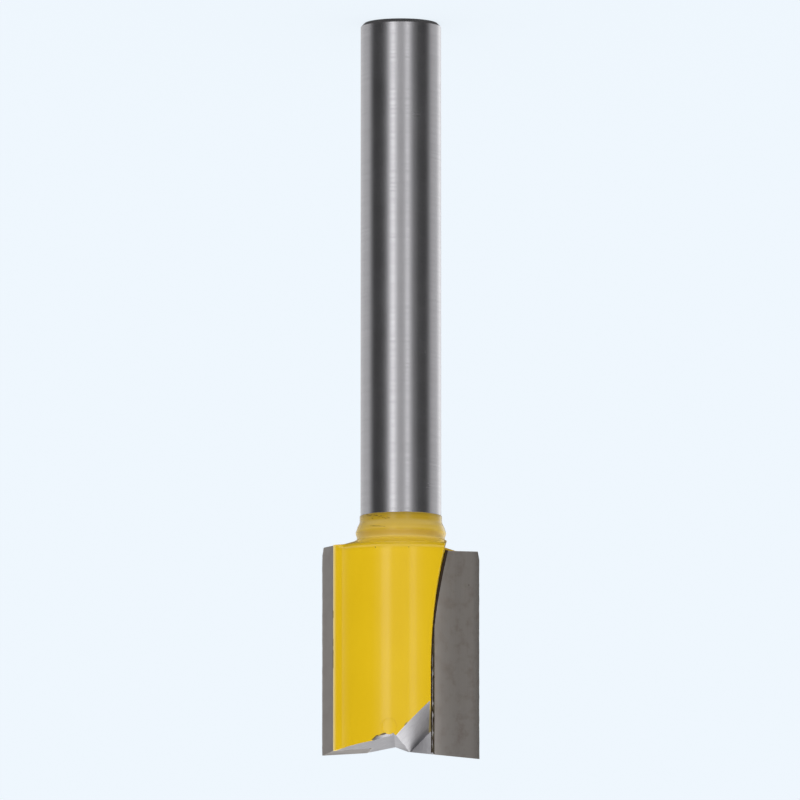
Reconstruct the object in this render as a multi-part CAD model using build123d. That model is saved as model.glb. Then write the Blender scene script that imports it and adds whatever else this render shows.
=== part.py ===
from build123d import *
from math import cos, radians, sin, sqrt, tan
import os

# Straight router bit with two brazed carbide tips and a cylindrical shank.
# The bit stands on its shank end: Z runs along the axis, the shank end is at Z = 0
# and the cutter is at the top. The tips lie along +X and -X, half a turn apart.
# All lengths are in millimetres and all angles in degrees.

# Shank
shank_diameter = 8.0
shank_end_chamfer = 0.38
shank_bare_length = 49.4

# Neck, between the shank and the cutter head, with a small turned bead on it
flare_start = 49.95
flare_length = 0.75
neck_diameter = 8.5
collar_diameter = 8.84
collar_start = 50.8
collar_width = 0.6
collar_round = 0.2
neck_length = 0.45
shoulder_angle = 16.0
rim_chamfer_width = 0.35
rim_chamfer_height = 0.75

# Cutter head
head_diameter = 14.54
cutting_diameter = 16.0
cutting_length = 20.7

# Carbide tips
tip_offset = 0.1
tip_thickness = 2.0
tip_width = 4.6
land_relief_angle = 18.0
lead_chamfer_width = 0.14
lead_chamfer_height = 0.8

# Silver braze between each tip and its seat
braze_gap = 0.1

# Flutes, each milled by a disc cutter that runs out towards the shank
flute_corner_offset = 2.83
flute_wall_angle = 12.0
flute_corner_radius = 0.4
flute_runout_rise = 1.5
disc_cutter_radius = 50.0

# Ground end: relief behind each end edge, dish towards the centre, gash and web notch
end_relief_angle = 7.0
end_dish_angle = 4.4
gash_depth_at_axis = -0.41
gash_side_slope = 1.0
gash_front_slope = 0.57
notch_depth = 1.0
notch_offset = 0.55
notch_outer_slope = 0.22
notch_inner_slope = 0.34
notch_skew = 0.248
notch_front_fall = 0.082
notch_back_fall = 0.18

# Lacquer on the neck, the head and the flute walls
coat_thickness = 0.08
coat_bead = 0.45

# Values worked out from the sizes above
shank_radius = shank_diameter / 2
collar_radius = collar_diameter / 2
neck_radius = neck_diameter / 2
head_radius = head_diameter / 2
cutting_radius = cutting_diameter / 2
neck_start = flare_start + flare_length
collar_end = collar_start + collar_width
shoulder_start = collar_end + neck_length
cone_outer_radius = head_radius - rim_chamfer_width
cone_end = shoulder_start + (cone_outer_radius - neck_radius) * tan(radians(shoulder_angle))
rim_end = cone_end + rim_chamfer_height
tip_start = cone_end + tip_offset
overall_length = tip_start + cutting_length
tip_inner_edge = cutting_radius - tip_width
runout_length = sqrt(2 * disc_cutter_radius * flute_runout_rise - flute_runout_rise**2)
runout_end = tip_start + runout_length
stock = 2 * cutting_diameter


def shaft_profile(extra):
    """Half section of the turned blank, grown outwards by extra from the collar up."""
    side = [
        (shank_radius + extra, flare_start),
        (neck_radius + extra, neck_start),
        (neck_radius + extra, collar_start),
        (collar_radius + extra, collar_start + collar_round),
        (collar_radius + extra, collar_end - collar_round),
        (neck_radius + extra, collar_end),
        (neck_radius + extra, shoulder_start),
        (cone_outer_radius + extra, cone_end - extra),
        (head_radius + extra, rim_end - extra),
        (head_radius + extra, overall_length),
    ]
    return side


def turned_blank():
    """The bar as it leaves the lathe: shank, collar, neck and head in one piece."""
    outline = [
        (0, 0),
        (shank_radius - shank_end_chamfer, 0),
        (shank_radius, shank_end_chamfer),
    ]
    outline += shaft_profile(0) + [(0, overall_length)]
    with BuildSketch(Plane.XZ) as section:
        with BuildLine():
            Polyline(*outline, close=True)
        make_face()
    return revolve(section.sketch, Axis.Z)


def coated_blank():
    """The outer skin that the lacquer reaches, from the bare shank to the cutter end."""
    outline = [(0, shank_bare_length), (shank_radius + coat_thickness, shank_bare_length)]
    outline += shaft_profile(coat_thickness) + [(0, overall_length)]
    with BuildSketch(Plane.XZ) as section:
        with BuildLine():
            Polyline(*outline, close=True)
        make_face()
    return revolve(section.sketch, Axis.Z)


def flute_outline(wall_offset):
    """Flute seen square to the rake face: a straight wall that ends in the disc's arc."""
    wall = flute_corner_offset + wall_offset
    centre = wall + disc_cutter_radius
    exit_height = runout_end - disc_cutter_radius * sin(radians(18))
    exit_side = centre - disc_cutter_radius * cos(radians(18))
    middle_height = runout_end - disc_cutter_radius * sin(radians(9))
    middle_side = centre - disc_cutter_radius * cos(radians(9))
    top = overall_length + stock
    with BuildSketch(Plane.XZ) as outline:
        with BuildLine():
            Line((wall, top), (wall, runout_end))
            ThreePointArc((wall, runout_end), (middle_side, middle_height), (exit_side, exit_height))
            Polyline((exit_side, exit_height), (stock, exit_height), (stock, top), (wall, top))
        make_face()
    return outline.sketch


def flute_cutter(wall_offset):
    """Space that the disc cutter clears in front of the rake face of the tip at +X."""
    lean = (-tan(radians(flute_wall_angle)), 1, 0)
    space = extrude(flute_outline(wall_offset), amount=stock, dir=lean)
    corner = space.edges().filter_by_position(Axis.Y, -0.001, 0.001).filter_by_position(
        Axis.X, flute_corner_offset + wall_offset - 0.001, stock / 2
    )
    return fillet(corner, flute_corner_radius)


def seat_block(gap):
    """Block of the carbide plate before its land is ground, grown by gap on its seated sides."""
    block = Box(
        stock,
        tip_thickness + gap,
        stock + gap,
        align=(Align.MIN, Align.MAX, Align.MIN),
    )
    return Pos(tip_inner_edge - gap, 0, tip_start - gap) * block


def seat_runout():
    """Shoulder cleared above the seat by the same disc, down to the seat floor."""
    lane = extrude(flute_outline(0), amount=tip_thickness + braze_gap, dir=(0, -1, 0))
    above_tip = Pos(0, 0, tip_start) * Box(
        2 * stock, 2 * stock, stock, align=(Align.CENTER, Align.CENTER, Align.MAX)
    )
    return lane & above_tip


def beyond_plane(depth, side_slope, front_slope):
    """All that lies past a plane whose depth below the cutter end grows along X and Y."""
    plane = Plane(origin=(0, 0, overall_length - depth), z_dir=(side_slope, front_slope, 1))
    return plane * Box(
        4 * stock, 4 * stock, stock, align=(Align.CENTER, Align.CENTER, Align.MIN)
    )


def end_relief():
    """Stock ground off the end of the half that carries the tip at +X."""
    dish = tan(radians(end_dish_angle))
    relief = tan(radians(end_relief_angle))
    half = Box(4 * stock, 8 * stock, 8 * stock, align=(Align.MIN, Align.CENTER, Align.CENTER))
    return beyond_plane(cutting_radius * dish, -dish, -relief) & half


def gash():
    """Bevel ground in front of the tip at +X, which clears chips from the web."""
    front = Box(8 * stock, 4 * stock, 8 * stock, align=(Align.CENTER, Align.MIN, Align.CENTER))
    return beyond_plane(gash_depth_at_axis, gash_side_slope, gash_front_slope) & front


def web_notch():
    """V notch ground across the web in one pass, a little off the axis, that dips to both sides."""
    reach = cutting_radius
    apex_height = overall_length - notch_depth
    with BuildSketch(Plane.XZ) as wedge:
        with BuildLine():
            Polyline(
                (notch_offset, apex_height),
                (notch_offset + reach, apex_height + notch_outer_slope * reach),
                (notch_offset - reach, apex_height + notch_inner_slope * reach),
                close=True,
            )
        make_face()
    front = extrude(wedge.sketch, amount=stock, dir=(notch_skew, -1, -notch_front_fall))
    back = extrude(wedge.sketch, amount=stock, dir=(-notch_skew, 1, -notch_back_fall))
    return front + back


def carbide_plate():
    """The tip at +X: a plate with a relieved land, a lead chamfer and its end edge ground."""
    land = tip_thickness * tan(radians(land_relief_angle))
    with BuildSketch(Plane.XY.offset(tip_start)) as section:
        with BuildLine():
            Polyline(
                (tip_inner_edge, 0),
                (cutting_radius, 0),
                (cutting_radius - land, -tip_thickness),
                (tip_inner_edge, -tip_thickness),
                close=True,
            )
        make_face()
    plate = extrude(section.sketch, amount=cutting_length)
    lead = Plane(
        origin=(cutting_radius - lead_chamfer_width, 0, tip_start),
        z_dir=(lead_chamfer_height, 0, -lead_chamfer_width),
    )
    plate -= lead * Box(stock, stock, stock, align=(Align.CENTER, Align.CENTER, Align.MIN))
    return plate - end_relief()


def lacquer_bead():
    """Lacquer gathered in the step between the head and the heel of the land."""
    heel = cutting_radius - tip_thickness * tan(radians(land_relief_angle))
    seat = tip_thickness
    far = seat + braze_gap + coat_bead
    inner = sqrt(head_radius**2 - far**2)
    with BuildSketch(Plane.XY.offset(tip_start)) as section:
        with BuildLine():
            Polyline(
                (heel - coat_thickness, -seat),
                (inner + coat_thickness / 2, -far),
                (tip_inner_edge, -far),
                (tip_inner_edge, -seat),
                close=True,
            )
        make_face()
    return extrude(section.sketch, amount=cutting_length)


def half_turn(shape):
    """The same feature for the tip at -X."""
    return Rotation(0, 0, 180) * shape


def both(feature):
    """A feature and its copy half a turn round."""
    return [feature, half_turn(feature)]


end_cuts = both(end_relief()) + both(gash()) + [web_notch()]

steel = turned_blank()
steel -= both(flute_cutter(0)) + both(seat_block(braze_gap)) + both(seat_runout())
steel -= end_cuts

tip = carbide_plate()

braze_stock = seat_block(braze_gap) & turned_blank()
braze = braze_stock - seat_block(0) - end_cuts

coat = coated_blank() + both(lacquer_bead())
coat -= both(flute_cutter(coat_thickness)) + both(seat_block(braze_gap)) + both(seat_runout())
coat -= turned_blank() - both(flute_cutter(0))
coat -= end_cuts

nodes = {
    "steel_body": steel,
    "carbide_tip_1": tip,
    "carbide_tip_2": half_turn(tip),
    "braze_joint_1": braze,
    "braze_joint_2": half_turn(braze),
    "enamel_coat": coat,
}

os.makedirs("parts", exist_ok=True)
for name, shape in nodes.items():
    solids = shape.solids()
    print(name, len(solids), round(sum(s.volume for s in solids), 3))
    export_step(Compound(children=solids) if len(solids) > 1 else solids[0], f"parts/{name}.step")
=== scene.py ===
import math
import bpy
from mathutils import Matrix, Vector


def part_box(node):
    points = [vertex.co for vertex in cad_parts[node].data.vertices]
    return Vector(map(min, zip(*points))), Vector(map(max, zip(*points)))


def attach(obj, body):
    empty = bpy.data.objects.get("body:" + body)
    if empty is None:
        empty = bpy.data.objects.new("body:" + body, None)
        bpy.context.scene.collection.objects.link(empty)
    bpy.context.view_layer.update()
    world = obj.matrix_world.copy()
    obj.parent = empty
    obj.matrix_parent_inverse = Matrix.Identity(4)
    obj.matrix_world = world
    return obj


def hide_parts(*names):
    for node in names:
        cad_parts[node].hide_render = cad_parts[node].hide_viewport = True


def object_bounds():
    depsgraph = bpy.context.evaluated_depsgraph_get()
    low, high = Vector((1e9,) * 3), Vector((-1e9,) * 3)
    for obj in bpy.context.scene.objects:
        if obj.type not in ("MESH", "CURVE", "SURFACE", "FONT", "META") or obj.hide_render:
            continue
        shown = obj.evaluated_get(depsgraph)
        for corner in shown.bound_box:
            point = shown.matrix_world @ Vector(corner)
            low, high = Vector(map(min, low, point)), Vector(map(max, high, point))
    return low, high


bl_info = {
    "name": "Straight Router Bit",
    "version": (1, 0, 0),
    "blender": (4, 5, 0),
    "location": "3D View > Sidebar > Router Bit",
    "description": "Builds the look of a brazed router bit, with its floor, light and camera",
    "category": "Object",
}

import bmesh
import bpy
from mathutils import Matrix, Vector, noise

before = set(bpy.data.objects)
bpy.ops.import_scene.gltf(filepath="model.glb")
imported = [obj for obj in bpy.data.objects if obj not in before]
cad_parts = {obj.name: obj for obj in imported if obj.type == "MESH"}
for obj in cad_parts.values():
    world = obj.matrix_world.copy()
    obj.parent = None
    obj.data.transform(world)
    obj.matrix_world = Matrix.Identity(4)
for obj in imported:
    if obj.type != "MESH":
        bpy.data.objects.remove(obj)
cad_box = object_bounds()

# Lengths are in millimetres until a form becomes an object.
MM = 0.001
TOP = cad_box[1].z / MM
CUTTING_RADIUS = cad_box[1].x / MM
TIP_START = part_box("carbide_tip_1")[0].z / MM

# Points on each stretch of half an outline of the head
LIP, WALL, FOOT, SEAT, BEAD, ARC = 5, 6, 5, 5, 7, 52
FRONT = LIP + WALL + FOOT
CUT = FRONT + SEAT + BEAD
COLUMNS = CUT + ARC - 1
# Where no flute is cut, the stretches before the arc share these degrees of the circle.
CUT_FROM, CUT_SPAN = 24, 28
# Width of the lacquer's bead beside the tip's heel
BEAD_WIDTH = 0.95
# Height of the rim's rounding, as a share of its radius
RIM_SHARE = 0.96
# Reach of the soft corner between neck and shoulder
CORNER_REACH = 0.06
# How far the lacquer's inner sheet stands clear of the steel
SHEET_GAP = 0.004


def srgb(code):
    """Turns a six-figure sRGB hex colour into linear red, green and blue."""
    parts = [int(code[i : i + 2], 16) / 255 for i in (0, 2, 4)]
    return tuple(c / 12.92 if c <= 0.04045 else ((c + 0.055) / 1.055) ** 2.4 for c in parts)


def number(name, text, value, **settings):
    return bpy.props.FloatProperty(name=name, description=text, default=value, **settings)


def length(name, text, value):
    return number(name, text, value * MM, unit="LENGTH", precision=5)


def slant(name, text, value):
    return number(name, text, math.radians(value), subtype="ANGLE")


def colour(name, text, code):
    return bpy.props.FloatVectorProperty(name=name, description=text, default=srgb(code),
        subtype="COLOR", size=3, min=0, max=1)


class BitSizes(bpy.types.PropertyGroup):
    shank_radius: length("Shank radius", "Radius of the ground shank", 4.0)
    shank_chamfer: length("Shank chamfer", "Chamfer on the shank's end", 0.38)
    coat_start: length("Coat start", "Height at which the lacquer starts on the shank", 49.4)
    flare_start: length("Flare start", "Height at which the shank flares into the neck", 49.95)
    flare_length: length("Flare length", "Height of the flare between shank and neck", 0.75)
    neck_radius: length("Neck radius", "Radius of the neck", 4.25)
    bead_height: length("Bead height", "Height of the small turned bead on the neck", 51.12)
    bead_rise: length("Bead rise", "How far the bead stands out of the neck", 0.15)
    bead_spread: length("Bead spread", "How far the bead spreads along the neck", 0.34)
    cone_start: length("Cone start", "Height at which the neck turns into the shoulder", 51.85)
    cone_angle: slant("Cone angle", "Rise of the shoulder's cone", 17.3)
    rim_radius: length("Rim radius", "Rounding between the shoulder and the head", 0.78)
    head_radius: length("Head radius", "Radius of the steel head under its lacquer", 7.27)
    coat: length("Coat thickness", "Thickness of the lacquer", 0.08)


class FluteSizes(bpy.types.PropertyGroup):
    corner_offset: length("Corner offset", "From the axis plane to the flute wall's foot", 2.83)
    wall_angle: slant("Wall angle", "Lean of the flute wall", 12.0)
    foot_round: length("Foot rounding", "Rounding along the foot of the wall", 0.32)
    lip_round: length("Lip rounding", "Rounding of the lacquer over the flute's lip", 0.06)
    disc_radius: length("Disc radius", "Radius of the disc cutter that mills the flute", 50.0)
    runout_rise: length("Run-out rise", "How far the run-out moves the wall at the tip", 1.5)
    seat_edge: length("Seat edge", "Inner side of the seat that holds the carbide", 3.3)
    seat_depth: length("Seat depth", "Depth of the seat below the rake face", 2.1)
    braze_gap: length("Braze gap", "Gap between the tip and the top of its seat", 0.1)


class TipSizes(bpy.types.PropertyGroup):
    width: length("Width", "Width of the carbide plate", 4.6)
    thickness: length("Thickness", "Thickness of the carbide plate", 2.0)
    land_angle: slant("Land angle", "Relief of the land behind the cutting edge", 18.0)
    lead_width: length("Lead width", "Width of the chamfer that leads the edge in", 0.14)
    lead_height: length("Lead height", "Height of the chamfer that leads the edge in", 0.8)


class EndSizes(bpy.types.PropertyGroup):
    relief_angle: slant("Relief angle", "Relief ground behind each end edge", 7.0)
    dish_angle: slant("Dish angle", "Dish of the end edges towards the axis", 4.4)
    gash_rise: length("Gash rise", "Height of the gash plane above the end, at the axis", 0.41)
    gash_side: number("Gash side slope", "Fall of the gash along the rake face", 1.0)
    gash_front: number("Gash front slope", "Fall of the gash away from the rake face", 0.57)
    notch_depth: length("Notch depth", "Depth of the V notch in the web", 1.0)
    notch_offset: length("Notch offset", "From the axis to the notch", 0.55)
    notch_outer: number("Notch outer slope", "Slope of the notch's outer side", 0.22)
    notch_inner: number("Notch inner slope", "Slope of the notch's inner side", 0.34)
    notch_skew: number("Notch skew", "How far the notch runs aside as it runs forward", 0.248)
    notch_front_fall: number("Notch front fall", "How fast the notch deepens to the front", 0.082)
    notch_back_fall: number("Notch back fall", "How fast the notch deepens to the back", 0.18)


class FinishColours(bpy.types.PropertyGroup):
    steel: colour("Steel", "Ground steel of the shank and the end", "c9c8cc")
    carbide: colour("Carbide", "Ground tungsten carbide", "8b8783")
    lacquer: colour("Lacquer", "Yellow lacquer where it lies thick", "f0c71c")
    # Its pale colour is also painted on as highlight: below the neck's bead, at the heel and on the
    # ground rim.
    thin_lacquer: colour("Thin lacquer", "Lacquer where it lies thin over bright metal", "fbe9a6")
    braze: colour("Braze", "Dull silver braze", "77715f")
    # Its dark is also painted on as shade: in the flute's crevices, on the wall near the ground end
    # and under the coat's ground edge.
    flux: colour("Flux", "Burnt flux left along the joints", "2c1b05")
    floor: colour("Floor", "Pale paper floor", "eff7fe")


class StageSettings(bpy.types.PropertyGroup):
    camera_distance: length("Camera distance", "From the camera to the bit's axis", 1390.2)
    camera_height: length("Aim height", "Height on the axis that the camera looks at", 37.773)
    camera_pitch: slant("Camera pitch", "How far the camera looks down", 6.9)
    camera_turn: slant("Camera turn", "How far the camera stands round from the rake face", 12.8)
    side_shift: length("Side shift", "How far the aim lies beside the axis", -0.0845)
    lens: number("Lens", "Focal length on a 36 mm wide sensor", 630.0, unit="CAMERA")
    overhead: number("Overhead light", "Brightness of the tent's roof", 2.0, min=0)
    underneath: number("Light from below", "Brightness that the tent's floor sends back", 1.3,
        min=0)
    floor_glow: number("Floor glow", "Brightness that the light table gives the paper", 0.88,
        min=0)
    paper_share: number("Paper share", "Share of the tent's light that the paper sends back",
        0.077, min=0, max=1)


def sizes(group):
    """A property group's lengths in millimetres, with its plain numbers and angles as they are."""
    found = {}
    for name, entry in group.bl_rna.properties.items():
        if name in {"rna_type", "name"}:
            continue
        value = getattr(group, name)
        found[name] = value / MM if entry.unit == "LENGTH" else value
    return found


class Forms:
    """The bit's sizes in millimetres and the few curves that all its pieces share."""

    def __init__(self, scene):
        self.bit = sizes(scene.router_bit_sizes)
        self.flute = sizes(scene.router_bit_flute)
        self.tip = sizes(scene.router_bit_tip)
        self.end = sizes(scene.router_bit_end)
        self.lean = math.tan(self.flute["wall_angle"])
        drop = self.flute["runout_rise"]
        disc = self.flute["disc_radius"]
        self.runout_end = TIP_START + math.sqrt(2 * disc * drop - drop**2)
        self.seat_start = TIP_START - self.flute["braze_gap"]
        self.rim_end = self.cone_end() + RIM_SHARE * self.bit["rim_radius"]
        # Even shares of the outer arc come first, because the creases are found on them.
        self.shares = [even_shares(), even_shares()]
        self.shares = [self.creased_shares(side) for side in (0, 1)]

    def cone_end(self):
        """Height at which the shoulder's cone meets the rounding of the rim."""
        bit = self.bit
        round_in = bit["rim_radius"] * (1 - math.sin(bit["cone_angle"]))
        outer = bit["head_radius"] - round_in
        return bit["cone_start"] + (outer - bit["neck_radius"]) * math.tan(bit["cone_angle"])

    def radius(self, z):
        """Radius of the turned steel at a height."""
        bit = self.bit
        shank = bit["shank_radius"]
        if z < bit["coat_start"]:
            return shank - max(0.0, bit["shank_chamfer"] - z)
        if z >= self.rim_end:
            return bit["head_radius"]
        if z >= self.cone_end():
            rise = (self.rim_end - z) / bit["rim_radius"]
            return bit["head_radius"] - bit["rim_radius"] * (1 - math.sqrt(max(0.0, 1 - rise**2)))
        flare = smooth((z - bit["flare_start"]) / bit["flare_length"])
        neck = shank + (bit["neck_radius"] - shank) * flare
        bead = bit["bead_rise"] * math.exp(-(((z - bit["bead_height"]) / bit["bead_spread"]) ** 2))
        past = (z - bit["cone_start"]) / CORNER_REACH
        climb = CORNER_REACH * math.log1p(math.exp(past))
        return neck + bead + climb / math.tan(bit["cone_angle"])

    def wall(self, z):
        """Offset of the flute wall's foot at a height, with the disc's run-out to the shank."""
        disc = self.flute["disc_radius"]
        drop = max(0.0, self.runout_end - z)
        return self.flute["corner_offset"] + disc - math.sqrt(disc**2 - drop**2)

    def end_planes(self, x, y, front):
        """Heights of the planes ground on the end above a point; front is the side towards -Y."""
        end = self.end
        dish, relief = math.tan(end["dish_angle"]), math.tan(end["relief_angle"])
        side = 1 if x >= 0 else -1
        forward = abs(y)
        relieved = TOP - dish * (CUTTING_RADIUS - abs(x)) + relief * y * side
        along = -x if front else x
        gashed = TOP + end["gash_rise"] - end["gash_side"] * along - end["gash_front"] * forward
        turn, fall = (1, end["notch_front_fall"]) if front else (-1, end["notch_back_fall"])
        away = x - end["notch_offset"] - turn * end["notch_skew"] * forward
        slope = end["notch_outer"] if away > 0 else end["notch_inner"]
        notched = TOP - end["notch_depth"] - fall * forward + slope * abs(away)
        return [relieved, gashed, notched]

    def end_height(self, x, y, front=None):
        """Height of the ground end, the lowest of its planes."""
        return min(self.end_planes(x, y, y < 0 if front is None else front))

    def creased_shares(self, side):
        """Shares of the outer arc, with the nearest ones moved onto the ground end's creases."""
        def facet(share):
            self.shares[side] = [share] * (ARC - 1)
            x, y = self.half_section(TOP, self.bit["coat"], True, side)[COLUMNS - 1]
            if side:
                x, y = -x, -y
            heights = self.end_planes(x, y, side == 0)
            notch_side = x > 0
            return heights.index(min(heights)), notch_side
        found = even_shares()
        for i in range(len(found) - 1):
            low, high = found[i], found[i + 1]
            if facet(low) == facet(high):
                continue
            kind = facet(low)
            for halving in range(30):
                middle = (low + high) / 2
                low, high = (middle, high) if facet(middle) == kind else (low, middle)
            nearer = i if high - found[i] < found[i + 1] - high else i + 1
            found[nearer] = high
        return found

    def half_section(self, z, grow, bead, side=0):
        """Half of the head's outline at a height, from the lip over the flute wall, the seat and
        the heel to the next lip. All heights give the same number of points."""
        flute = self.flute
        radius = self.radius(z) + grow
        wall = self.wall(max(z, self.bit["bead_height"])) + grow
        least_cut = 0.02
        if radius <= wall + least_cut:
            cut = [CUT_FROM - CUT_SPAN * i / CUT for i in range(CUT)]
            rest = [CUT_FROM - CUT_SPAN - (180 - CUT_SPAN) * share for share in self.shares[side]]
            return [polar(radius, math.radians(a)) for a in cut + rest]
        lean = self.lean
        reach = (wall * lean + math.sqrt(radius**2 * (1 + lean**2) - wall**2)) / (1 + lean**2)
        lip = Vector((wall - reach * lean, reach))
        up = Vector((-lean, 1)).normalized()
        # Near the run-out the wall is low, and its roundings shrink with it.
        most_round = reach * 0.3
        soft = min(flute["lip_round"], most_round)
        lip_angle = math.atan2(lip.y, lip.x) + soft / radius
        seated = z >= self.seat_start
        foot = min(flute["foot_round"], most_round) if seated else 0.001
        corner = Vector((wall, 0))
        points = curve(polar(radius, lip_angle), lip, lip - up * soft, LIP - 1)
        points += line(lip - up * soft, corner + up * foot, WALL)
        points += curve(corner + up * foot, corner, corner + Vector((foot, 0)), FOOT)[1:]
        if seated:
            edge, floor = flute["seat_edge"], -flute["seat_depth"]
        else:
            edge, floor = wall, -min(flute["seat_depth"] - grow, math.sqrt(radius**2 - wall**2))
        heel = Vector((math.sqrt(radius**2 - floor**2), floor))
        points += [Vector((edge, 0)), Vector((edge, floor / 2)), Vector((edge, floor))]
        points += line(Vector((edge, floor)), heel, 2)
        heel_angle = math.atan2(heel.y, heel.x)
        bead_angle = heel_angle - BEAD_WIDTH / radius
        if bead and seated:
            # The bead starts on the tip's heel and fills the step down to the head.
            start = Vector((self.heel_edge() - 0.03, -self.tip["thickness"] + 0.02))
            middle = start - Vector((0.05, 0.45))
            points += curve(start, middle, polar(radius, bead_angle), BEAD - 1)
        else:
            points += [polar(radius, heel_angle + (bead_angle - heel_angle) * i / (BEAD - 1))
                for i in range(BEAD)]
        last = lip_angle - math.pi
        points += [polar(radius, bead_angle + (last - bead_angle) * share)
            for share in self.shares[side]]
        return points

    def heel_edge(self):
        """Distance of the tip's heel, where its land ends, from the axis plane."""
        return CUTTING_RADIUS - self.tip["thickness"] * math.tan(self.tip["land_angle"])

    def section(self, z, grow, bead=False):
        """The whole outline: two halves, half a turn apart."""
        near = self.half_section(z, grow, bead, 0)
        far = self.half_section(z, grow, bead, 1)
        return near + [-p for p in far]


def even_shares():
    return [i / ARC for i in range(1, ARC)]


def smooth(t):
    """Eases from 0 at 0 to 1 at 1, held outside."""
    t = min(1.0, max(0.0, t))
    return t * t * (3 - 2 * t)


def patch(p, first, last, ease_in, ease_out):
    """1 where a point's bearing lies between two angles in degrees, eased to 0 at both."""
    angle = math.degrees(math.atan2(p.y, p.x))
    return smooth((first - angle) / ease_in) * smooth((angle - last) / ease_out)


def polar(radius, angle):
    return Vector((radius * math.cos(angle), radius * math.sin(angle)))


def curve(start, middle, end, parts):
    """A rounded corner from start to end, drawn towards the middle point."""
    shares = [i / parts for i in range(parts + 1)]
    return [start * (1 - t) ** 2 + middle * (2 * t * (1 - t)) + end * t**2 for t in shares]


def line(start, end, parts):
    """Points from start to end, without the start."""
    return [start.lerp(end, i / parts) for i in range(1, parts + 1)]


def wave(*place):
    """Smooth noise at a place, from -1 to 1."""
    return noise.noise(Vector(place))


def steps_between(marks):
    """Heights from a list of (height, step) marks: each step holds from its mark to the next."""
    heights = []
    for (low, step), (high, _) in zip(marks, marks[1:]):
        count = max(1, round((high - low) / step))
        heights += [low + (high - low) * i / count for i in range(count)]
    return heights + [marks[-1][0]]


def add_rows(form, rows):
    return [[form.verts.new(point) for point in row] for row in rows]


def join_rows(form, rows, closed=True, keep=None):
    """Joins rows of corners with four-sided faces, but leaves out those that keep turns down."""
    for r, (low, high) in enumerate(zip(rows, rows[1:])):
        count = len(low)
        for c in range(count if closed else count - 1):
            n = (c + 1) % count
            if keep is None or keep(r, c):
                form.faces.new((low[c], low[n], high[n], high[c]))


def new_object(form, name, unit=MM, smooth_faces=True):
    """Turns a form, by default in millimetres, into an object in metres."""
    bmesh.ops.scale(form, vec=(unit,) * 3, verts=form.verts)
    for face in form.faces:
        face.smooth = smooth_faces
    mesh = bpy.data.meshes.new(name)
    form.to_mesh(mesh)
    form.free()
    item = bpy.data.objects.new(name, mesh)
    bpy.context.scene.collection.objects.link(item)
    return item


def close_rows(form, rows):
    """A closed form from rows of points, with its ends filled and its faces turned outwards."""
    rows = add_rows(form, rows)
    join_rows(form, rows)
    form.faces.new(rows[0])
    form.faces.new(rows[-1])
    bmesh.ops.recalc_face_normals(form, faces=form.faces)
    return rows


def finish_piece(form, name, materials, node, sharp):
    """Turns a form into a piece that rides with the bit in place of a node. Edges sharper than
    sharp degrees stay sharp."""
    piece = new_object(form, name)
    piece.data.set_sharp_from_angle(angle=math.radians(sharp))
    for material in materials:
        piece.data.materials.append(material)
    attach(piece, "root")
    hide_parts(node)
    return piece


def make_pair(context, build, surface, name, node, sharp):
    """Makes a piece for the tip at +X and one half a turn round, each by its own count."""
    forms = Forms(context.scene)
    material = surface(context.scene.router_bit_colours)
    for count in (1, 2):
        form = bmesh.new()
        build(form, forms, count)
        turned = Matrix.Rotation(math.pi * (count - 1), 3, "Z")
        bmesh.ops.rotate(form, verts=form.verts, cent=(0, 0, 0), matrix=turned)
        finish_piece(form, f"{name}_{count}", [material], f"{node}_{count}", sharp)


def plane_cutter(name, outline, height):
    """A closed block whose foot lies on a plane, given by its height, and whose top is clear of
    the bit. It laps over its outline a little, so that no fin is left beside the next block."""
    lap, clear = 0.004, 60
    form = bmesh.new()
    foot = [Vector((x, y, height(x, y))) for x, y in outline]
    normal = (foot[1] - foot[0]).cross(foot[2] - foot[0])
    middle = sum(foot, Vector()) / len(foot)
    for corner in foot:
        aside = Vector([math.copysign(lap, corner[i] - middle[i]) for i in (0, 1)] + [0.0])
        aside.z = -aside.dot(normal) / normal.z
        corner += aside
    close_rows(form, [foot, [(corner.x, corner.y, TOP + clear) for corner in foot]])
    return new_object(form, name, smooth_faces=False)


def end_cutters(forms):
    """The grinding passes on the end: two reliefs, two gashes and the notch's four sides."""
    far = 30.0
    # A nudge off the axis picks the side whose relief is meant.
    nudge = 1e-9
    cutters = []

    def cut(name, outline, plane, front, side=0):
        cutters.append(plane_cutter(name, outline,
            lambda x, y: forms.end_planes(x or side * nudge, y, front)[plane]))

    for side in (1, -1):
        cut("relief_pass", [(0, -far), (side * far, -far), (side * far, far), (0, far)], 0, True,
            side)
    for front in (True, False):
        y = -far if front else far
        cut("gash_pass", [(-far, 0), (far, 0), (far, y), (-far, y)], 1, front)
        start = forms.end["notch_offset"]
        end = start + (1 if front else -1) * forms.end["notch_skew"] * far
        for side in (1, -1):
            cut("notch_pass", [(start, 0), (side * far, 0), (side * far, y), (end, y)], 2, front)
    return cutters


def grind_end(piece, forms):
    """Cuts the end of a piece with each grinding pass and deletes the cutters."""
    cutters = end_cutters(forms)
    for cutter in cutters:
        ground = piece.modifiers.new("ground", "BOOLEAN")
        ground.object = cutter
        ground.operation = "DIFFERENCE"
        ground.solver = "EXACT"
    shape = piece.evaluated_get(bpy.context.evaluated_depsgraph_get())
    mesh = bpy.data.meshes.new_from_object(shape)
    piece.modifiers.clear()
    old = piece.data
    name = old.name
    piece.data = mesh
    bpy.data.meshes.remove(old)
    mesh.name = name
    for cutter in cutters:
        data = cutter.data
        bpy.data.objects.remove(cutter)
        bpy.data.meshes.remove(data)
    return mesh


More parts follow.
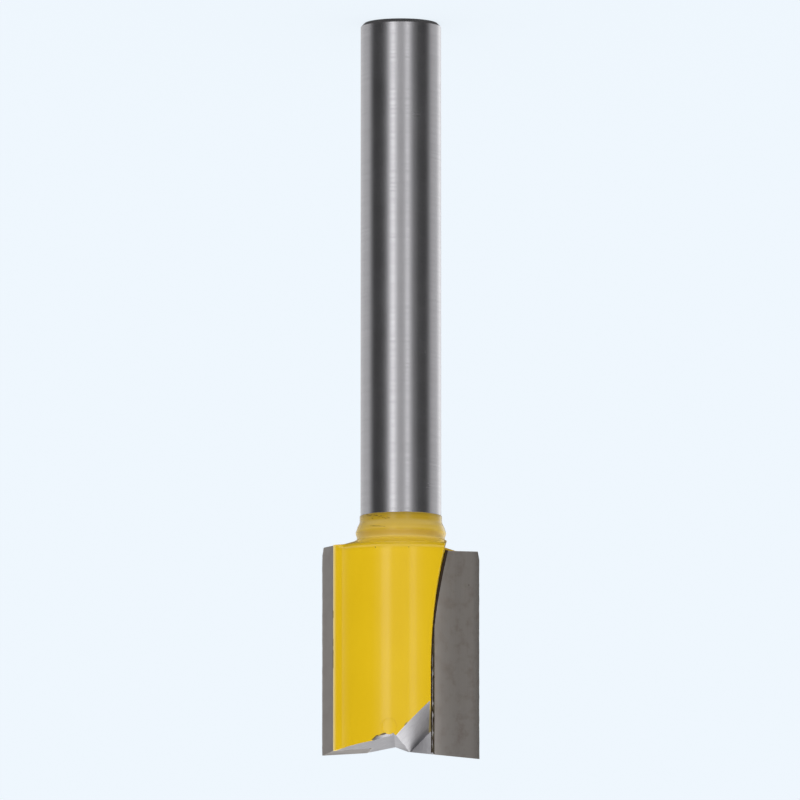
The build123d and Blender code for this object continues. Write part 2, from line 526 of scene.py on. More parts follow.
def add_node(tree, kind, sockets=(), **settings):
    """Adds a node with its settings. Each socket, by name or number, gets a value or a link: to
    an output, or to the first output that another node has in use."""
    node = tree.nodes.new(kind)
    for name, value in settings.items():
        setattr(node, name, value)
    for key, value in dict(sockets).items():
        socket = node.inputs[key]
        if isinstance(value, bpy.types.Node):
            value = next(output for output in value.outputs if output.enabled)
        if isinstance(value, bpy.types.NodeSocket):
            tree.links.new(value, socket)
        else:
            socket.default_value = (*value, 1) if socket.type == "RGBA" else value
    return node


def new_material(name, *patterns):
    """An empty material and its noise patterns, each given by the sizes of its cells in
    millimetres, its detail and, if it is turned about the axis, that angle in degrees."""
    material = bpy.data.materials.new(name)
    material.use_nodes = True
    tree = material.node_tree
    tree.nodes.clear()
    start = add_node(tree, "ShaderNodeTexCoord").outputs["Object"]
    noises = []
    for cells, detail, *turn in patterns:
        place = start
        for angle in turn:
            place = add_node(tree, "ShaderNodeMapping", {"Vector": place,
                "Rotation": (0, 0, math.radians(angle))})
        scale = tuple(1 / (MM * cell) for cell in cells)
        spread = add_node(tree, "ShaderNodeMapping", {"Vector": place, "Scale": scale})
        noises.append(add_node(tree, "ShaderNodeTexNoise", {"Vector": spread, "Scale": 1,
            "Detail": detail, "Roughness": 0.6}))
    return material, tree, *noises


def lay_tones(tree, tone, *layers):
    """Lays colours over a tone. Each covers it where its pattern is strong or, given a low and a
    high value and the most that it covers, by a share that grows between those values."""
    for pattern, over, *span in layers:
        if span:
            low, high, most = span
            pattern = add_node(tree, "ShaderNodeMapRange", {0: pattern, 1: low, 2: high, 3: 0,
                4: most})
        tone = add_node(tree, "ShaderNodeMix", {0: pattern, 6: tone, 7: over}, data_type="RGBA")
    return tone


def darker(tint, *shares):
    """A colour times one share, or a share for each of red, green and blue."""
    return tuple(part * share for part, share in zip(tint, shares * (3 // len(shares))))


def finish_material(material, tree, relief, depth, sockets):
    """Ends a material in its shader. Its relief, if it has one, is depth millimetres deep."""
    if relief:
        sockets["Normal"] = add_node(tree, "ShaderNodeBump", {"Height": relief,
            "Distance": depth * MM})
    shader = add_node(tree, "ShaderNodeBsdfPrincipled", sockets)
    add_node(tree, "ShaderNodeOutputMaterial", {"Surface": shader})
    return material


def ground_shank_steel(colours):
    """Centreless-ground steel: fine lines run round the shank and stretch highlights lengthways."""
    # Real grinding lines lie about 0.02 mm apart; drawn at 0.1 mm so that they show.
    material, tree, lines, smear = new_material("ground_shank_steel", ((6, 6, 0.1), 3),
        ((3, 3, 5), 2))
    tone = lay_tones(tree, colours.steel, (lines, darker(colours.steel, 0.55), 0.35, 0.65, 0.16))
    even = add_node(tree, "ShaderNodeMapRange", {0: smear, 1: 0.3, 2: 0.7, 3: 0.2, 4: 0.235})
    fine = add_node(tree, "ShaderNodeMapRange", {0: lines, 1: 0.35, 2: 0.65, 3: 0, 4: 0.04})
    rough = add_node(tree, "ShaderNodeMath", {0: even, 1: fine}, operation="ADD")
    around = add_node(tree, "ShaderNodeTangent", direction_type="RADIAL", axis="Z")
    return finish_material(material, tree, lines, 0.0006, {"Base Color": tone,
        "Roughness": rough, "Metallic": 1, "Anisotropic": 0.4, "Tangent": around})


def ground_end_steel(colours):
    """Steel ground on a wheel: straight coarse scratches across each facet of the end."""
    # Wheel scratches of 0.03 mm, drawn at 0.09 mm so that they show.
    material, tree, lines, blots = new_material("ground_end_steel", ((0.09, 2.2, 0.6), 2, 24),
        ((0.7, 0.7, 0.7), 2))
    # A grey smear in the corner between gash and step is painted shade for that concave corner.
    corner = Vector((-1.4, -0.25, TOP - 1.2)) * MM
    apart = add_node(tree, "ShaderNodeVectorMath",
        {0: add_node(tree, "ShaderNodeTexCoord").outputs["Object"], 1: corner},
        operation="DISTANCE")
    tone = lay_tones(tree, colours.steel, (lines, darker(colours.steel, 0.6), 0.35, 0.7, 0.3),
        (blots, srgb("8f8c92"), 0.45, 0.75, 0.2), (apart, srgb("6c6a6e"), 2.2 * MM, 0.4 * MM, 0.6))
    rough = add_node(tree, "ShaderNodeMapRange", {0: lines, 1: 0.3, 2: 0.7, 3: 0.3, 4: 0.4})
    return finish_material(material, tree, lines, 0.004, {"Base Color": tone,
        "Roughness": rough, "Metallic": 1})


def gloss_lacquer(colours):
    """Sprayed yellow lacquer: strong colour under a clear gloss, paler where it lies thin or where
    a highlight is painted on, dark where shade is painted on.
    """
    # The film's thickness drifts over several millimetres, and its orange peel is 0.9 mm wide.
    material, tree, drift, peel = new_material("gloss_yellow_lacquer", ((4, 4, 6), 2),
        ((0.9, 0.9, 1.4), 1))
    film, scorch = [add_node(tree, "ShaderNodeAttribute", attribute_name=name).outputs["Fac"]
        for name in ("film", "scorch")]
    deep = lay_tones(tree, colours.lacquer,
        (drift, darker(colours.lacquer, 0.93, 0.9, 0.7), 0.35, 0.65, 0.35))
    tone = lay_tones(tree, colours.thin_lacquer, (film, deep), (scorch, colours.flux))
    rough = add_node(tree, "ShaderNodeMapRange", {0: film, 1: 0.8, 2: 1, 3: 0.3, 4: 0.08})
    return finish_material(material, tree, peel, 0.003, {"Base Color": tone,
        "Roughness": rough, "IOR": 1.5})


def ground_carbide(colours):
    """Tungsten carbide ground with a fine diamond wheel: dark grey metal with faint streaks."""
    # Diamond-wheel scratches of 0.01 mm, drawn at 0.12 mm, run along the cutting edge.
    material, tree, streaks, broad, blots = new_material("ground_tungsten_carbide",
        ((0.12, 0.12, 9), 3), ((0.9, 0.9, 14), 2), ((1.1, 1.1, 1.3), 3))
    pale, scorch = [add_node(tree, "ShaderNodeAttribute", attribute_name=name).outputs["Fac"]
        for name in ("pale", "scorch")]
    # The pale layer paints a highlight on the rake face beside the braze.
    tone = lay_tones(tree, colours.carbide,
        (streaks, darker(colours.carbide, 0.6), 0.35, 0.65, 0.14),
        (broad, srgb("7d7673"), 0.35, 0.7, 0.22), (blots, srgb("6f625c"), 0.5, 0.7, 0.4),
        (pale, srgb("a7a19d")), (scorch, colours.flux))
    rough = add_node(tree, "ShaderNodeMapRange", {0: blots, 1: 0.3, 2: 0.7, 3: 0.36, 4: 0.46})
    return finish_material(material, tree, streaks, 0.0015, {"Base Color": tone,
        "Roughness": rough, "Metallic": 1})


def dull_braze(colours):
    """Silver braze as it froze, dull and olive-grey, with burnt flux left in the corners, whose
    dark is also painted shade there.
    """
    # Frozen lumps are about 0.25 mm wide and drawn out along the joint.
    material, tree, lumps = new_material("dull_silver_braze", ((0.25, 0.25, 0.5), 3))
    scorch, ground = [add_node(tree, "ShaderNodeAttribute", attribute_name=name).outputs["Fac"]
        for name in ("scorch", "ground")]
    tone = lay_tones(tree, colours.braze, (lumps, darker(colours.braze, 0.45), 0.35, 0.65, 1),
        (scorch, colours.flux), (ground, srgb("bab8b2")))
    metal = add_node(tree, "ShaderNodeMapRange", {0: scorch, 1: 0, 2: 1, 3: 0.8, 4: 0})
    rough = add_node(tree, "ShaderNodeMapRange", {0: lumps, 1: 0.3, 2: 0.7, 3: 0.4, 4: 0.6})
    return finish_material(material, tree, lumps, 0.03, {"Base Color": tone,
        "Roughness": rough, "Metallic": metal})


def matt_paper(stage, colours):
    """Matt white paper on a light table: pale, with only a faint shadow at the bit's foot."""
    # Felted fibres make cells of about 0.4 mm.
    material, tree, fibres = new_material("matt_paper", ((0.4, 0.4, 0.4), 2))
    bright = darker(colours.floor, stage.paper_share)
    tone = lay_tones(tree, bright, (fibres, darker(bright, 0.99), 0.3, 0.7, 1))
    return finish_material(material, tree, None, 0, {"Base Color": tone, "Roughness": 0.9,
        "Specular IOR Level": 0, "Emission Color": colours.floor,
        "Emission Strength": stage.floor_glow})


def shade(rows, layer, value):
    """Writes a value, or one worked out from row and column, on a layer of the rows' corners."""
    for r, row in enumerate(rows):
        for c, corner in enumerate(row):
            corner[layer] = value(r, c) if callable(value) else value


def bead_along(form, path, reach, sides=8):
    """A closed bead round a path: reach(share) gives its radius along the way."""
    rows = []
    count = len(path)
    whole = (path[-1] - path[0]).normalized()
    across = Vector((0, 0, 1)) if abs(whole.z) < 0.8 else Vector((0, 1, 0))
    for i, point in enumerate(path):
        way = (path[min(i + 1, count - 1)] - path[max(i - 1, 0)]).normalized()
        aside = way.cross(across).normalized()
        over = aside.cross(way)
        radius = reach(i / (count - 1))
        turns = [2 * math.pi * k / sides for k in range(sides)]
        rows.append([form.verts.new(point + (aside * math.cos(t) + over * math.sin(t)) * radius)
            for t in turns])
    join_rows(form, rows)
    form.faces.new(rows[0])
    form.faces.new(list(reversed(rows[-1])))
    return rows


class ROUTERBIT_OT_steel(bpy.types.Operator):
    """Lathes and mills the steel body, with its ground end"""

    bl_idname = "router_bit.steel"
    bl_label = "Steel Body"

    def execute(self, context):
        forms = Forms(context.scene)
        form = bmesh.new()
        chamfer = forms.bit["shank_chamfer"]
        heights = [0, 0.02, 0.06, chamfer - 0.05, chamfer, chamfer + 0.05]
        # Heights in millimetres and the steps from there on
        heights += steps_between([(1.5, 3.0), (49.4, 0.2), (51.7, 0.06), (53.5, 1.2),
            (forms.runout_end, 1.5), (TOP + 2, 1.0)])
        rows = []
        for z in heights:
            ring = forms.section(z, 0.0)
            if z == 0:
                # The edge of the standing face is broken by 0.04 mm.
                ring = [p * (1 - 0.04 / p.length) for p in ring]
            rows.append([(p.x, p.y, z) for p in ring])
        close_rows(form, rows)
        colours = context.scene.router_bit_colours
        piece = finish_piece(form, "ground_body", [ground_shank_steel(colours),
            ground_end_steel(colours)], "steel_body", 32)
        mesh = grind_end(piece, forms)
        web = forms.flute["seat_edge"] * MM
        end = (TOP - 7) * MM
        # The wheels ground the faces at the end that look up, and the steps in the web.
        for face in mesh.polygons:
            centre, normal = face.center, face.normal
            step = abs(normal.y) > 0.99 and abs(centre.y) < 1e-5 and abs(centre.x) < web
            if centre.z > end and (normal.z > 0.2 or step):
                face.material_index = 1
                face.use_smooth = False
        mesh.set_sharp_from_angle(angle=math.radians(25))
        self.burr(mesh, forms)
        return {"FINISHED"}

    def burr(self, mesh, forms):
        """A thin bright burr where each gash meets the step beside the tip."""
        form = bmesh.new()
        form.from_mesh(mesh)
        last, points = 2.66, 24
        for side, start in ((1, 1.32), (-1, 0.98)):
            path = []
            for i in range(points):
                x = start + (last - start) * i / (points - 1)
                height = forms.end_planes(x, 0, False)[1] + 0.015
                path.append(Vector((side * x, 0.03 * side, height)) * MM)
            rows = bead_along(form, path,
                lambda t: (0.05 + 0.02 * wave(t * 9, side, 0)) * MM, 6)
            for face in {face for row in rows for corner in row for face in corner.link_faces}:
                face.material_index = 1
                face.smooth = True
        form.to_mesh(mesh)
        form.free()


class ROUTERBIT_OT_lacquer(bpy.types.Operator):
    """Sprays the yellow lacquer on the neck, the head and the flute walls"""

    bl_idname = "router_bit.lacquer"
    bl_label = "Lacquer"

    def execute(self, context):
        forms = Forms(context.scene)
        form = bmesh.new()
        film = form.verts.layers.float.new("film")
        scorch = form.verts.layers.float.new("scorch")
        start = forms.bit["coat_start"]
        low = forms.runout_end + 1
        # Heights in millimetres and the steps from there on
        heights = [start - 0.02, start] + steps_between([(start + 0.06, 0.08), (51.8, 0.05),
            (53.5, 0.6), (low, 0.5)])
        # Shares of the way from the last height to the ground end
        shares = [0.15, 0.3, 0.45, 0.6, 0.72, 0.82, 0.9, 0.95, 0.98, 1.0]

        def ragged(p, z):
            """Uneven start of the sprayed coat, which dies out up the neck."""
            return 0.05 * wave(p.x * 0.9, p.y * 0.9, 3) * (1 - smooth((z - start) / 0.8))

        def sheet(grow, bead):
            rows = []
            for r, z in enumerate(heights):
                # The coat thins out over its first two rows.
                coat = grow * (0.25, 0.7)[r] if r < 2 else grow
                rows.append([(p.x, p.y, z + ragged(p, z)) for p in forms.section(z, coat, bead)])
            ring = forms.section(TOP, grow, bead)
            tops = []
            for c, p in enumerate(ring):
                front = (c % COLUMNS >= FRONT) == (c < COLUMNS)
                chip = 0.3 * patch(p, -54, -73, 4, 3)
                tops.append(forms.end_height(p.x, p.y, front) - chip)
            rows += [[(p.x, p.y, low + (top - low) * share) for p, top in zip(ring, tops)]
                for share in shares]
            return add_rows(form, rows)

        outer, inner = sheet(forms.bit["coat"], True), sheet(SHEET_GAP, False)
        first_seated = next(r for r, z in enumerate(heights) if z >= forms.seat_start)

        def painted(r, c):
            """Whether the face above a row and beside a column is there: the seat stays bare."""
            return r < first_seated or not FRONT - 2 <= c % COLUMNS < FRONT + SEAT

        join_rows(form, outer, keep=painted)
        join_rows(form, inner, keep=painted)
        last, count = len(outer) - 1, 2 * COLUMNS
        for r, c in ((r, c) for r in range(last) for c in range(count) if painted(r, c)):
            n = (c + 1) % count
            sides = [(painted(r, c - 1), (r, c), (r + 1, c)),
                (painted(r, n), (r, n), (r + 1, n)),
                (r > 0 and painted(r - 1, c), (r, c), (r, n)),
                (r + 1 < last and painted(r + 1, c), (r + 1, c), (r + 1, n))]
            for joined, (a, b), (d, e) in sides:
                if not joined:
                    form.faces.new((outer[a][b], outer[d][e], inner[d][e], inner[a][b]))
        bmesh.ops.recalc_face_normals(form, faces=form.faces)

        def thickness(r, c):
            """Share of a full coat: less on the neck, at the heel and where the wall is gashed. A
            low share pales the lacquer, which also paints light below the neck's bead and a
            highlight at the heel.
            """
            z = heights[r] if r < len(heights) else TOP
            # Below the bead the share dips. This pales the neck as painted light where the head's
            # shoulder shades it.
            neck = 0.92 - 0.24 * smooth((z - 50.9) / 0.6) + 0.32 * smooth((z - 51.7) / 0.4)
            # At the heel the share falls. The lacquer there is thin, and its pale edge is partly a
            # painted highlight along the bead.
            column = c % COLUMNS - (CUT - BEAD)
            heel = smooth((column + 0.5) / 4) if 0 <= column < BEAD else 1.0
            # Near the ground end the wall's share falls. Together with the darkening below, this
            # paints olive shade on the wall.
            wall = LIP - 2 <= c % COLUMNS < FRONT
            edge = 1 - 0.8 * smooth((outer[r][c].co.z - TOP + 4.9) / 0.5) if wall else 1.0
            return min(neck, 0.15 + 0.85 * heel, edge)

        def dulled_and_shaded(r, c):
            """Thin lacquer on the neck lets the dark steel through; near the ground end the flute
            wall is darkened as painted shade.
            """
            z = outer[r][c].co.z
            if z > 53:
                return 0.9 * (1 - thickness(r, c)) if c % COLUMNS < FRONT else 0.0
            return 0.3 * (1 - smooth((z - 49.3) / 0.6)) + 0.3 * (1 - smooth((z - 49.9) / 1.5))

        for rows in (outer, inner):
            shade(rows, film, thickness)
            shade(rows, scorch, dulled_and_shaded)
        for side in (0, 1):
            first = side * COLUMNS + CUT - 2
            edge = [outer[-1][c % count].co for c in range(first, (side + 1) * COLUMNS + 2)]
            self.rim(form, edge, side, film, scorch)
        self.marks(form, forms, film, scorch)
        loose = [v for v in form.verts if not v.link_faces]
        bmesh.ops.delete(form, geom=loose, context="VERTS")
        colours = context.scene.router_bit_colours
        finish_piece(form, "lacquer_skin", [gloss_lacquer(colours)], "enamel_coat",
            40)
        return {"FINISHED"}

    def rim(self, form, edge, side, film, scorch):
        """A thin rim along the coat's ground edge, paled as a painted highlight, which swells into
        two curled burrs whose dark is painted shade under the edge.
        """
        path = [p + Vector((0, 0, -0.06)) - Vector((p.x, p.y, 0)).normalized() * 0.05
            for p in edge]

        def burnt(p):
            return max(patch(p, -52, -74, 3, 3), 0.8 * patch(p, -76.5, -84, 1.5, 2))

        def reach(t):
            rough = wave(t * 22, side, 0)
            thin = 0.05 - 0.03 * smooth(t / 0.16)
            burr = burnt(path[round(t * (len(path) - 1))]) * (0.075 + 0.045 * rough)
            return max(thin, burr) + 0.008 * rough

        rows = bead_along(form, path, reach)
        # Pale as a painted highlight, and dark at the burrs as painted shade.
        shade(rows, film, 0.35)
        shade(rows, scorch, lambda r, c: 0.9 * burnt(path[r]))

    def marks(self, form, forms, film, scorch):
        """Small faults of the spraying and grinding, each laid along its way on the surface."""
        def on_skin(angle, z):
            p = polar(forms.radius(z) + forms.bit["coat"], math.radians(angle))
            return Vector((p.x, p.y, z))

        # Angle from +X and height along the way, radius, share of scorching
        ways = [
            ([(-33, 50.7), (-40, 50.74), (-48, 50.78), (-57, 50.86)], 0.03, 0.75),
            ([(-57.0, 53.18), (-57.4, 53.28)], 0.05, 0.9),
            ([(-83.2, 53.22), (-83.6, 53.3)], 0.045, 0.9),
        ]
        # Speckles where the coat starts
        for i in range(26):
            shift, spread, climb, width = [wave(i * 3.7, k * 5.1, 1) for k in range(4)]
            angle = -20 - 1.6 * i
            z = 49.42 + 0.7 * abs(shift) + 0.018 * i
            ways.append(([(angle, z), (angle - 1.2 - 3 * abs(spread), z + 0.06 * climb)],
                0.024 + 0.03 * abs(width), 0.85))
        for way, radius, burnt in ways:
            path = [on_skin(angle, z) for angle, z in way]
            fine = [a.lerp(b, k / 6) for a, b in zip(path, path[1:]) for k in range(6)] + path[-1:]
            for point in fine:
                point.z += 0.03 * wave(*(point * 6)) if len(way) > 3 else 0
            rows = bead_along(form, fine, lambda t: radius * (0.35 + 0.65 * math.sin(
                math.pi * (0.06 + 0.88 * t))), 6)
            shade(rows, film, 1.0)
            shade(rows, scorch, burnt)
        # Chips along the heel of the land: from and to these heights, and radius
        for low, high, radius in ((59.2, 59.9, 0.05), (62.0, 62.7, 0.03), (63.1, 64.9, 0.036)):
            count = max(3, round((high - low) / 0.12))
            path = [Vector((forms.heel_edge() - 0.02, -2.04, low + (high - low) * k / count))
                for k in range(count + 1)]
            rows = bead_along(form, path,
                lambda t: radius * (0.8 + 0.6 * wave(t * 5, low, 0)), 6)
            shade(rows, scorch, 0.8)
        # A drop of lacquer that ran down and dried above the ground end
        bearing = -68
        place = Matrix.Translation(on_skin(bearing, 71.0)) @ Matrix.Rotation(
            math.radians(bearing), 4, "Z") @ Matrix.Diagonal((0.05, 0.74, 0.8, 1))
        drop = bmesh.ops.create_uvsphere(form, u_segments=40, v_segments=24, radius=1.0,
            matrix=place)
        shade([drop["verts"]], film, 1.0)


class ROUTERBIT_OT_tips(bpy.types.Operator):
    """Grinds the two carbide tips"""

    bl_idname = "router_bit.tips"
    bl_label = "Carbide Tips"

    def execute(self, context):
        make_pair(context, self.plate, ground_carbide, "ground_tip", "carbide_tip",
            28)
        return {"FINISHED"}

    def plate(self, form, forms, seed):
        """The plate of the tip at +X. Its seed gives it nicks and marks of its own."""
        pale = form.verts.layers.float.new("pale")
        scorch = form.verts.layers.float.new("scorch")
        tip = forms.tip
        inner = CUTTING_RADIUS - tip["width"]
        # The plate's lower edge is broken by this much, and each outer edge by its rounding.
        broken = 0.05
        rounds = [0.05, 0.02, 0.012, 0.05]
        low = TIP_START + broken
        heights = steps_between([(low, 0.1), (TIP_START + 1.2, 0.35), (TOP - 2.0, 0.3)])
        # Shares of the way from the last height to the ground end
        shares = [0.2, 0.4, 0.6, 0.75, 0.87, 0.95, 0.985]

        def ring(z, inset):
            """Outline at a height, with a finely nicked cutting edge."""
            rough = wave(z * 1.7, seed * 5.3, 0) * 0.02
            fine = wave(z * 6.1, seed * 3.7, 4) * 0.012
            lead = max(0.0, 1 - (z - TIP_START) / tip["lead_height"]) * tip["lead_width"]
            edge = CUTTING_RADIUS - lead + rough + fine - 0.015
            heel = forms.heel_edge() + 0.3 * rough
            back = -tip["thickness"]
            corners = [(inner, 0), (edge, 0), (heel, back), (inner, back)]
            points = []
            for i, (x, y) in enumerate(corners):
                corner = Vector((x, y))
                before = (Vector(corners[i - 1]) - corner).normalized()
                after = (Vector(corners[(i + 1) % 4]) - corner).normalized()
                points += curve(corner + before * rounds[i], corner, corner + after * rounds[i], 3)
            if inset:
                centre = Vector(((inner + edge) / 2, back / 2))
                points = [p + (centre - p).normalized() * inset for p in points]
            spread = []
            for i, p in enumerate(points):
                n = points[(i + 1) % len(points)]
                parts = 6 if (n - p).length > 1 else 1
                spread += [p.lerp(n, k / parts) for k in range(parts)]
            return spread

        def relief(p):
            return forms.end_planes(p.x, p.y, True)[0]

        rows = [[(p.x, p.y, TIP_START) for p in ring(low, broken)]]
        rows += [[(p.x, p.y, z) for p in ring(z, 0)] for z in heights]
        base = heights[-1]
        for share in shares:
            rows.append([(p.x, p.y, base + (relief(p) - base) * share)
                for p in ring(base + (TOP - base) * share, 0)])
        rows.append([(p.x, p.y, relief(p)) for p in ring(TOP, 0.015)])
        rows = close_rows(form, rows)
        # Painted highlight: paler on the rake face beside the braze, fading towards the cutting
        # edge; the land and the back are paler too.
        finish = [0.9, 0.9, 0.85, 0.8, 0.42, 0.15] + [0.0] * 5
        shade(rows, pale, lambda r, c: finish[c] if c < len(finish) else 0.7)
        if seed == 2:
            # One small pit in the rake face
            pit = bead_along(form, [Vector((6.92 + 0.03 * i, 0.0, 56.08)) for i in (-1, 0, 1)],
                lambda t: 0.05)
            shade(pit, scorch, 0.9)


class ROUTERBIT_OT_braze(bpy.types.Operator):
    """Runs the silver braze round the seats and leaves burnt flux along the flute walls, dark also
    as painted shade at their foot
    """

    bl_idname = "router_bit.braze"
    bl_label = "Braze Joints"

    def execute(self, context):
        make_pair(context, self.joint, dull_braze, "braze_run", "braze_joint", 40)
        return {"FINISHED"}

    def joint(self, form, forms, seed):
        """The braze under, beside and above the tip at +X, and the runs along its edges."""
        scorch = form.verts.layers.float.new("scorch")
        ground = form.verts.layers.float.new("ground")
        seat, inner = forms.flute["seat_edge"], CUTTING_RADIUS - forms.tip["width"]
        floor, back = -forms.flute["seat_depth"], -forms.tip["thickness"]
        heel = math.sqrt(forms.bit["head_radius"] ** 2 - floor**2)
        outline = [(seat, -0.03), (seat, floor), (heel, floor), (heel, back), (inner, back),
            (inner, -0.03)]
        heights = steps_between([(forms.seat_start, 0.5), (TOP - 2, 0.5)])
        rows = [[(x, y, z) for x, y in outline] for z in heights]
        for below in (0.05, 0.0):
            rows.append([(x, y, forms.end_height(x, y, True) - below) for x, y in outline])
        rows = close_rows(form, rows)
        shade(rows[-1:], ground, 1.0)
        crevice = forms.flute["corner_offset"] + 0.3

        def uneven(z, pace, kind):
            return wave(z * pace, seed, kind)

        # Silver that rose beside the tip, flux in the crevice, and flux along the flute wall; the
        # flux also paints the shade in the crevice and at the wall's foot
        self.run(form, forms, scorch, forms.runout_end - 6, True, False,
            lambda z: Vector((seat - 0.01, -0.11)), lambda z: 0.13 + 0.05 * uneven(z, 1.7, 9))
        self.run(form, forms, scorch, forms.runout_end - 1, True, True,
            lambda z: Vector((crevice, -0.03)),
            lambda z: 0.075 + 0.06 * uneven(z, 0.9, 5) + 0.04 * uneven(z, 3.3, 6))
        self.run(form, forms, scorch, TIP_START - 0.05, False, True,
            lambda z: Vector((forms.wall(z) + 0.28, 0.0)),
            lambda z: 0.2 - 0.12 * smooth((z - 54) / 9) + 0.03 * uneven(z, 2.6, 2))

    def run(self, form, forms, scorch, start, front, burnt, place, reach):
        """A bead along the rake face, from a starting height up to the ground end. It is flux where
        it is burnt, its dark also painted shade, and otherwise silver with burnt patches."""
        path = []
        z = start
        while z < forms.end_height(*place(z), front) - 0.1:
            path.append(Vector((*place(z), z)))
            z += 0.2
        low, high = path[0].z, path[-1].z
        rows = bead_along(form, path, lambda t: reach(low + (high - low) * t), 10)
        shade(rows, scorch, lambda r, c: 1.0 if burnt else min(1.0, max(0.0,
            0.45 + 1.6 * wave(path[r].z * 1.4, 8, 1))))


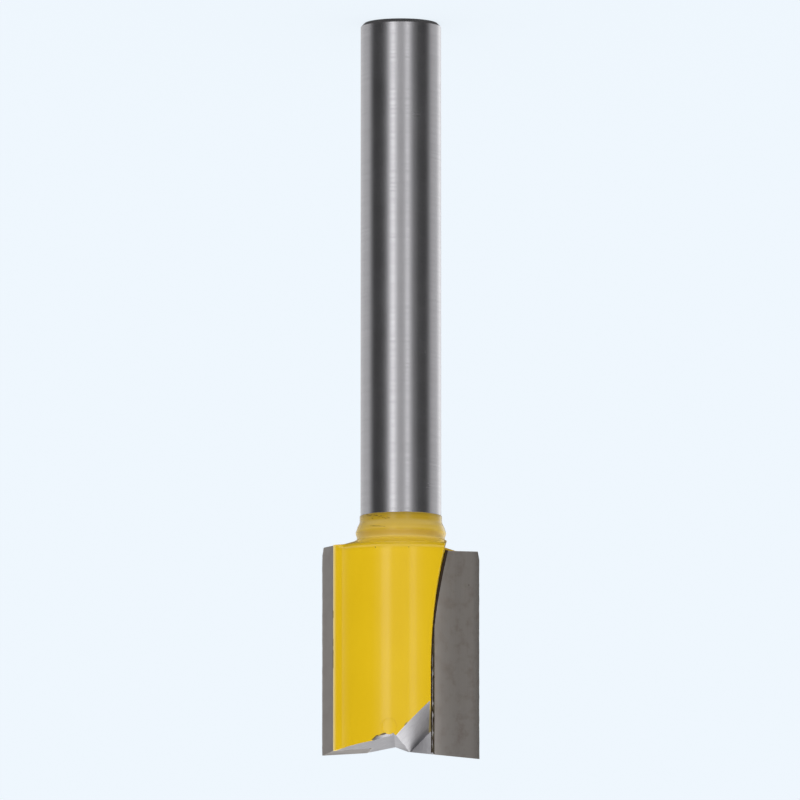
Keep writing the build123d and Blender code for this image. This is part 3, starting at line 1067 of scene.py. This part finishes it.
class ROUTERBIT_OT_stage(bpy.types.Operator):
    """Lays the pale floor, hangs the light tent and places the camera"""

    bl_idname = "router_bit.stage"
    bl_label = "Stage"

    def execute(self, context):
        stage = context.scene.router_bit_stage
        context.scene.view_settings.view_transform = "Standard"
        self.floor(stage, context.scene.router_bit_colours)
        self.tent(stage)
        self.camera(stage)
        return {"FINISHED"}

    def floor(self, stage, colours):
        """A wide disc of paper on a light table, with its far edge swept up out of sight."""
        form = bmesh.new()
        reach, rise = 5.0, 1.5
        bends = [math.radians(90 * i / 12) for i in range(1, 13)]
        profile = [(1.0, 0.0), (3.0, 0.0), (reach, 0.0)]
        profile += [(reach + rise * math.sin(a), rise * (1 - math.cos(a))) for a in bends]
        profile.append((reach + rise, 4.0))
        turns = [2 * math.pi * k / 96 for k in range(96)]
        rows = add_rows(form, [[(r * math.cos(t), r * math.sin(t), h) for t in turns]
            for r, h in profile])
        join_rows(form, rows)
        form.faces.new(rows[0])
        bmesh.ops.recalc_face_normals(form, faces=form.faces)
        floor = new_object(form, "floor", 1)
        floor.data.materials.append(matt_paper(stage, colours))
        floor.visible_glossy = False
        floor.visible_diffuse = False
        floor.visible_shadow = False

    def tent(self, stage):
        """A light tent: a roof, pale sides and two tall openings in front, with dark gaps."""
        world = bpy.data.worlds.new("light_tent")
        bpy.context.scene.world = world
        world.use_nodes = True
        tree = world.node_tree
        tree.nodes.clear()
        view = add_node(tree, "ShaderNodeTexCoord").outputs["Generated"]
        axes = add_node(tree, "ShaderNodeSeparateXYZ", {0: view}).outputs
        front = add_node(tree, "ShaderNodeMath", {0: axes["Y"], 1: -1}, operation="MULTIPLY")
        bearing = add_node(tree, "ShaderNodeMath", {0: axes["X"], 1: front}, operation="ARCTAN2")
        turn = add_node(tree, "ShaderNodeMapRange", {0: bearing, 1: -math.pi, 2: math.pi})
        walls = add_node(tree, "ShaderNodeValToRGB", {"Fac": turn})
        # Bearing from the camera in degrees, and brightness
        lights = [
            (-178, 0.15), (-170, 0.5), (-158, 0.8), (-146, 0.7), (-125, 0.62), (-112, 0.62),
            (-101, 0.5), (-93, 0.2), (-86, 0.05), (-60, 0.05), (-45, 0.1), (-33, 0.5),
            (-28, 1.4), (-20, 1.8), (-13, 0.55), (0, 0.42), (12, 0.5), (15, 1.2),
            (22, 1.25), (26, 0.55), (36, 0.2), (52, 0.07), (75, 0.05), (84, 0.1),
            (92, 0.4), (100, 0.58), (125, 0.65), (138, 1.1), (156, 1.35), (167, 0.7),
            (174, 0.12),
        ]
        # Colours hold no more than 1, so they are halved here and doubled by the strength.
        strength = 2.0
        camera_bearing = math.degrees(stage.camera_turn)
        places = sorted((((camera_bearing - angle + 180) / 360) % 1.0, light)
            for angle, light in lights)
        stops = walls.color_ramp.elements
        for i, (spot, light) in enumerate(places):
            stop = stops[i] if i < 2 else stops.new(spot)
            stop.position = spot
            stop.color = (light / strength,) * 3 + (1,)
        # Below and behind is dark, and the chamfer on the shank's end mirrors it.
        behind = Vector((-math.sin(stage.camera_turn), math.cos(stage.camera_turn), -1.7))
        below = add_node(tree, "ShaderNodeVectorMath", {0: view, 1: behind.normalized()},
            operation="DOT_PRODUCT")
        tone = walls.outputs["Color"]
        for way, low, high, light in ((axes["Z"], 0.4, 0.7, stage.overhead),
                (axes["Z"], -0.4, -0.7, stage.underneath), (below, 0.68, 0.8, 0.08)):
            share = add_node(tree, "ShaderNodeMapRange", {0: way, 1: low, 2: high},
                interpolation_type="SMOOTHSTEP")
            tone = lay_tones(tree, tone, (share, (light / strength,) * 3))
        shine = add_node(tree, "ShaderNodeBackground", {"Color": tone, "Strength": strength})
        add_node(tree, "ShaderNodeOutputWorld", {"Surface": shine})

    def camera(self, stage):
        """The camera looks from above the cutting end and is rolled over, as the photograph is."""
        pitch, turn = stage.camera_pitch, stage.camera_turn
        back = Vector((math.sin(turn) * math.cos(pitch), -math.cos(turn) * math.cos(pitch),
            math.sin(pitch)))
        right = Vector((-math.cos(turn), -math.sin(turn), 0))
        up = Vector((math.sin(pitch) * math.sin(turn), -math.sin(pitch) * math.cos(turn),
            -math.cos(pitch)))
        data = bpy.data.cameras.new("camera")
        data.lens = stage.lens
        data.sensor_width = 36
        data.clip_start = 0.1
        data.clip_end = 20
        camera = bpy.data.objects.new("camera", data)
        bpy.context.scene.collection.objects.link(camera)
        aim = Vector((0, 0, stage.camera_height))
        place = aim + back * stage.camera_distance + right * stage.side_shift
        turned = Matrix((right, up, back)).transposed().to_4x4()
        camera.matrix_world = Matrix.Translation(place) @ turned
        bpy.context.scene.camera = camera


class ROUTERBIT_PT_panel(bpy.types.Panel):
    bl_label = "Router Bit"
    bl_idname = "ROUTERBIT_PT_panel"
    bl_space_type = "VIEW_3D"
    bl_region_type = "UI"
    bl_category = "Router Bit"

    def draw(self, context):
        for step in steps:
            self.layout.operator(step.bl_idname)


steps = (ROUTERBIT_OT_steel, ROUTERBIT_OT_lacquer, ROUTERBIT_OT_tips, ROUTERBIT_OT_braze,
    ROUTERBIT_OT_stage)
groups = {
    "router_bit_sizes": BitSizes,
    "router_bit_flute": FluteSizes,
    "router_bit_tip": TipSizes,
    "router_bit_end": EndSizes,
    "router_bit_colours": FinishColours,
    "router_bit_stage": StageSettings,
}


def register():
    for item in (*groups.values(), *steps, ROUTERBIT_PT_panel):
        bpy.utils.register_class(item)
    for name, group in groups.items():
        setattr(bpy.types.Scene, name, bpy.props.PointerProperty(type=group))


def unregister():
    for name in groups:
        delattr(bpy.types.Scene, name)
    for item in reversed((*groups.values(), *steps, ROUTERBIT_PT_panel)):
        bpy.utils.unregister_class(item)


def main():
    register()
    bpy.ops.router_bit.steel()
    bpy.ops.router_bit.lacquer()
    bpy.ops.router_bit.tips()
    bpy.ops.router_bit.braze()
    bpy.ops.router_bit.stage()


if __name__ == "__main__":
    main()
